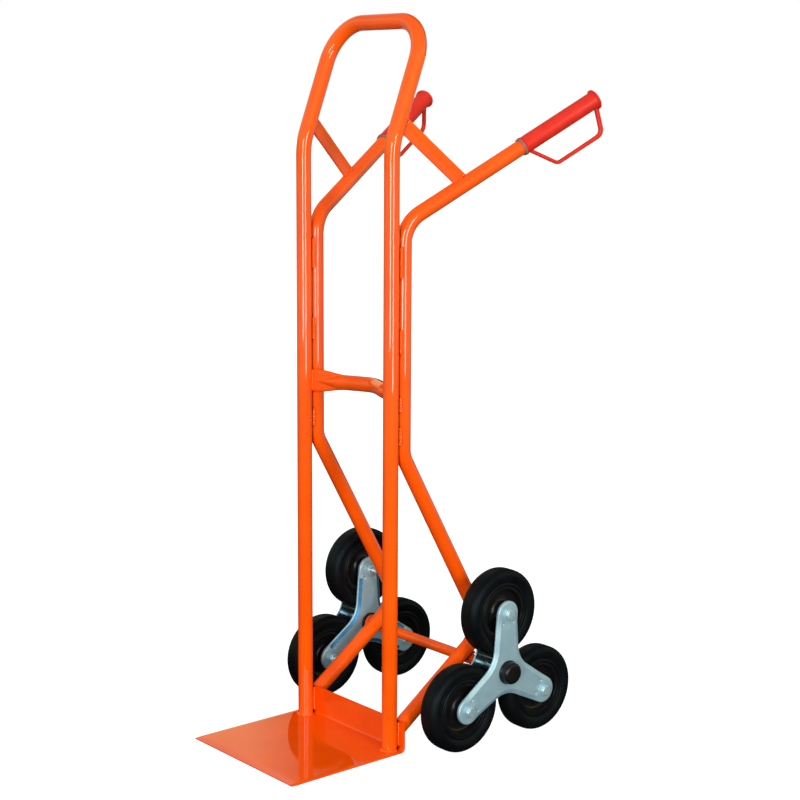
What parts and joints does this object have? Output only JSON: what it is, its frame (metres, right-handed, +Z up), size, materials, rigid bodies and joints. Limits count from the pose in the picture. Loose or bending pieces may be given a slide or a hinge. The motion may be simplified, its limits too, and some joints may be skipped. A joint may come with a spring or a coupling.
{
  "type": "stair-climbing hand truck",
  "caption": "Upright tubular hand truck with a folded toe plate, two rear arms with guarded grips, and a turning three-wheel star on each side for climbing stairs.",
  "frame": {"origin": "on the floor, midway between the two uprights, on the underside of the toe plate", "axes": "+Z up; +Y backwards, towards the wheels and the grips; +X towards the right-hand star when looking along +Y"},
  "size_m": [0.5028, 0.6404, 1.314],
  "materials": {
    "orange_paint": "gloss powder coat over welded steel tube and sheet",
    "red_plastic": "satin moulded grip with a fine grain",
    "grey_plastic": "dull grey ring",
    "zinc_plate": "bright blue-passivated zinc on pressed steel",
    "tyre_rubber": "solid black rubber with fine moulded rings",
    "black_plastic": "black moulded plastic"
  },
  "bodies": {
    "frame": {"loop_frame": "orange_paint", "toe_plate": "orange_paint", "right_side_rail": "orange_paint", "left_side_rail": "orange_paint", "crossbar": "orange_paint", "right_strut": "orange_paint", "left_strut": "orange_paint", "frame_welds": "orange_paint", "axle": "orange_paint", "right_axle_collar": "orange_paint", "left_axle_collar": "orange_paint", "right_axle_retainer": "zinc_plate", "left_axle_retainer": "zinc_plate", "right_grip": "red_plastic", "left_grip": "red_plastic", "right_grip_ring": "grey_plastic", "left_grip_ring": "grey_plastic"},
    "right_star": {"right_star_outer_plate": "zinc_plate", "right_star_inner_plate": "zinc_plate", "right_hub_sleeve": "zinc_plate", "right_hub_bushes": "black_plastic", "right_end_cap": "black_plastic", "right_wheel_bolts": "zinc_plate", "right_wheel_nuts": "zinc_plate", "right_wheel_washers": "zinc_plate", "right_wheel_spacers": "zinc_plate"},
    "right_top_wheel": {"right_top_tyre": "tyre_rubber", "right_top_rim": "black_plastic"},
    "right_rear_wheel": {"right_rear_tyre": "tyre_rubber", "right_rear_rim": "black_plastic"},
    "right_front_wheel": {"right_front_tyre": "tyre_rubber", "right_front_rim": "black_plastic"},
    "left_star": {"left_star_outer_plate": "zinc_plate", "left_star_inner_plate": "zinc_plate", "left_hub_sleeve": "zinc_plate", "left_hub_bushes": "black_plastic", "left_end_cap": "black_plastic", "left_wheel_bolts": "zinc_plate", "left_wheel_nuts": "zinc_plate", "left_wheel_washers": "zinc_plate", "left_wheel_spacers": "zinc_plate"},
    "left_top_wheel": {"left_top_tyre": "tyre_rubber", "left_top_rim": "black_plastic"},
    "left_rear_wheel": {"left_rear_tyre": "tyre_rubber", "left_rear_rim": "black_plastic"},
    "left_front_wheel": {"left_front_tyre": "tyre_rubber", "left_front_rim": "black_plastic"}
  },
  "joints": [
    {"name": "right_star_turn", "type": "hinge", "parent": "frame", "child": "right_star", "pos_m": [0.1995, 0.196, 0.1345], "axis": [1, 0, 0], "continuous": true},
    {"name": "right_top_wheel_turn", "type": "hinge", "parent": "right_star", "child": "right_top_wheel", "pos_m": [0.1995, 0.196, 0.2435], "axis": [1, 0, 0], "continuous": true},
    {"name": "right_rear_wheel_turn", "type": "hinge", "parent": "right_star", "child": "right_rear_wheel", "pos_m": [0.1995, 0.2904, 0.08], "axis": [1, 0, 0], "continuous": true},
    {"name": "right_front_wheel_turn", "type": "hinge", "parent": "right_star", "child": "right_front_wheel", "pos_m": [0.1995, 0.1016, 0.08], "axis": [1, 0, 0], "continuous": true},
    {"name": "left_star_turn", "type": "hinge", "parent": "frame", "child": "left_star", "pos_m": [-0.1995, 0.196, 0.1345], "axis": [1, 0, 0], "continuous": true},
    {"name": "left_top_wheel_turn", "type": "hinge", "parent": "left_star", "child": "left_top_wheel", "pos_m": [-0.1995, 0.196, 0.2435], "axis": [1, 0, 0], "continuous": true},
    {"name": "left_rear_wheel_turn", "type": "hinge", "parent": "left_star", "child": "left_rear_wheel", "pos_m": [-0.1995, 0.2904, 0.08], "axis": [1, 0, 0], "continuous": true},
    {"name": "left_front_wheel_turn", "type": "hinge", "parent": "left_star", "child": "left_front_wheel", "pos_m": [-0.1995, 0.1016, 0.08], "axis": [1, 0, 0], "continuous": true}
  ]
}
